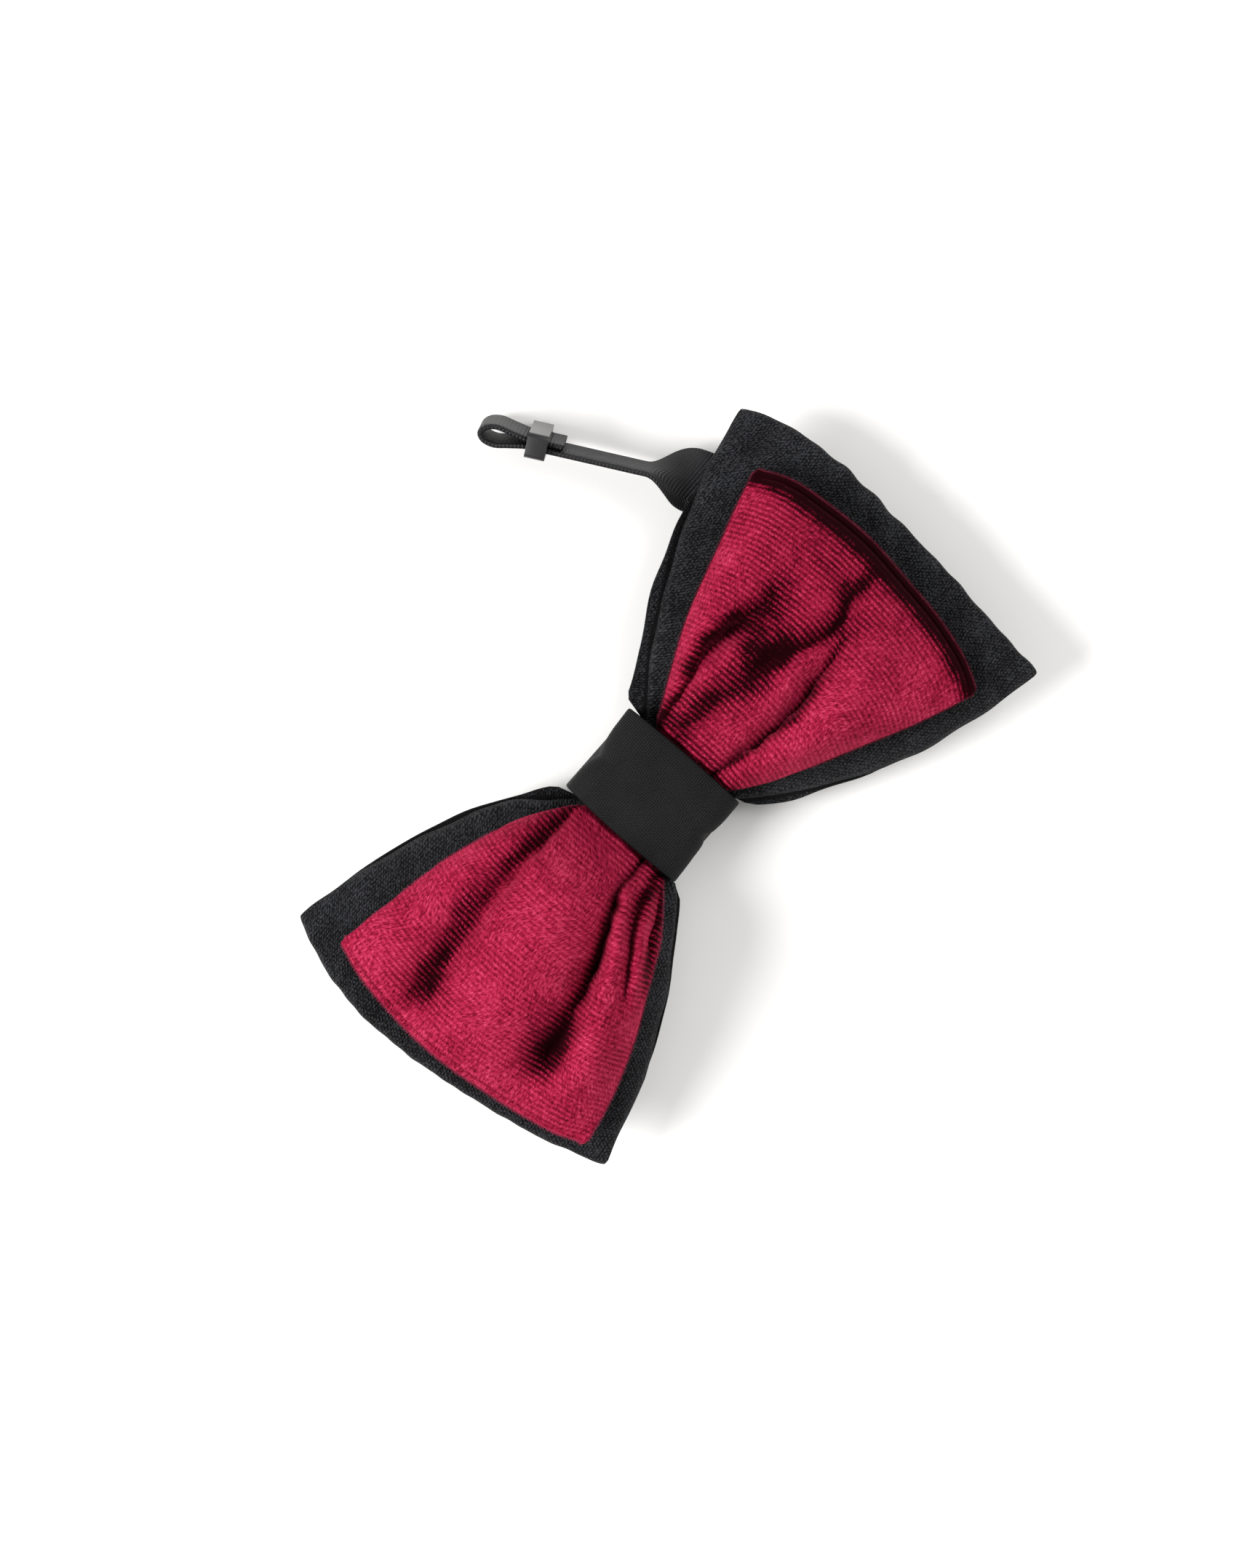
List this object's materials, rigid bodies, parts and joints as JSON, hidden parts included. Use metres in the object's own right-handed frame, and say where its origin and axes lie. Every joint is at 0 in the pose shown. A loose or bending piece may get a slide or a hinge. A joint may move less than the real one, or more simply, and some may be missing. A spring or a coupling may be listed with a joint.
{
  "type": "bow tie",
  "caption": "Pre-tied double bow tie, a crimson velvet bow on a larger black bow, with an adjustable neck strap folded away behind it.",
  "frame": {"origin": "middle of the knot's flat back face, which the bow tie rests on when it lies face up", "axes": "+X along the bow to the wearer's left wing, +Y up the bow's height, +Z out of its front"},
  "size_m": [0.1198, 0.0965, 0.0251],
  "materials": {
    "black_crepe": "matte crepe weave",
    "crimson_velvet": "short cut pile with fine cross rows",
    "black_twill": "fine plain twill",
    "black_tape": "narrow woven tape",
    "stiffener": "unwoven interlining",
    "black_thread": "twisted polyester sewing thread",
    "black_lacquered_metal": "satin black lacquer"
  },
  "bodies": {
    "bow": {"lower_bow": "black_crepe", "lower_bow_interlining": "stiffener", "lower_bow_binding_thread": "black_thread", "upper_bow": "crimson_velvet", "upper_bow_interlining": "stiffener", "upper_bow_binding_thread": "black_thread", "knot_wrap": "black_twill", "knot_wrap_interlining": "stiffener", "knot_seam_thread": "black_thread", "neck_strap": "black_tape", "hook_end_thread": "black_thread"},
    "slide": {"strap_slide": "black_lacquered_metal", "strap_tail": "black_tape"},
    "hook": {"strap_hook": "black_lacquered_metal"}
  },
  "joints": [
    {"name": "slide_on_strap", "type": "slide", "parent": "bow", "child": "slide", "axis": [0.4756, -0.8796, 0], "range_m": [0, 0.012]},
    {"name": "hook_swing", "type": "hinge", "parent": "bow", "child": "hook", "pos_m": [-0.03048, -0.01298, 0.0024], "axis": [0, -1, 0], "range_deg": [-8, 25]}
  ]
}
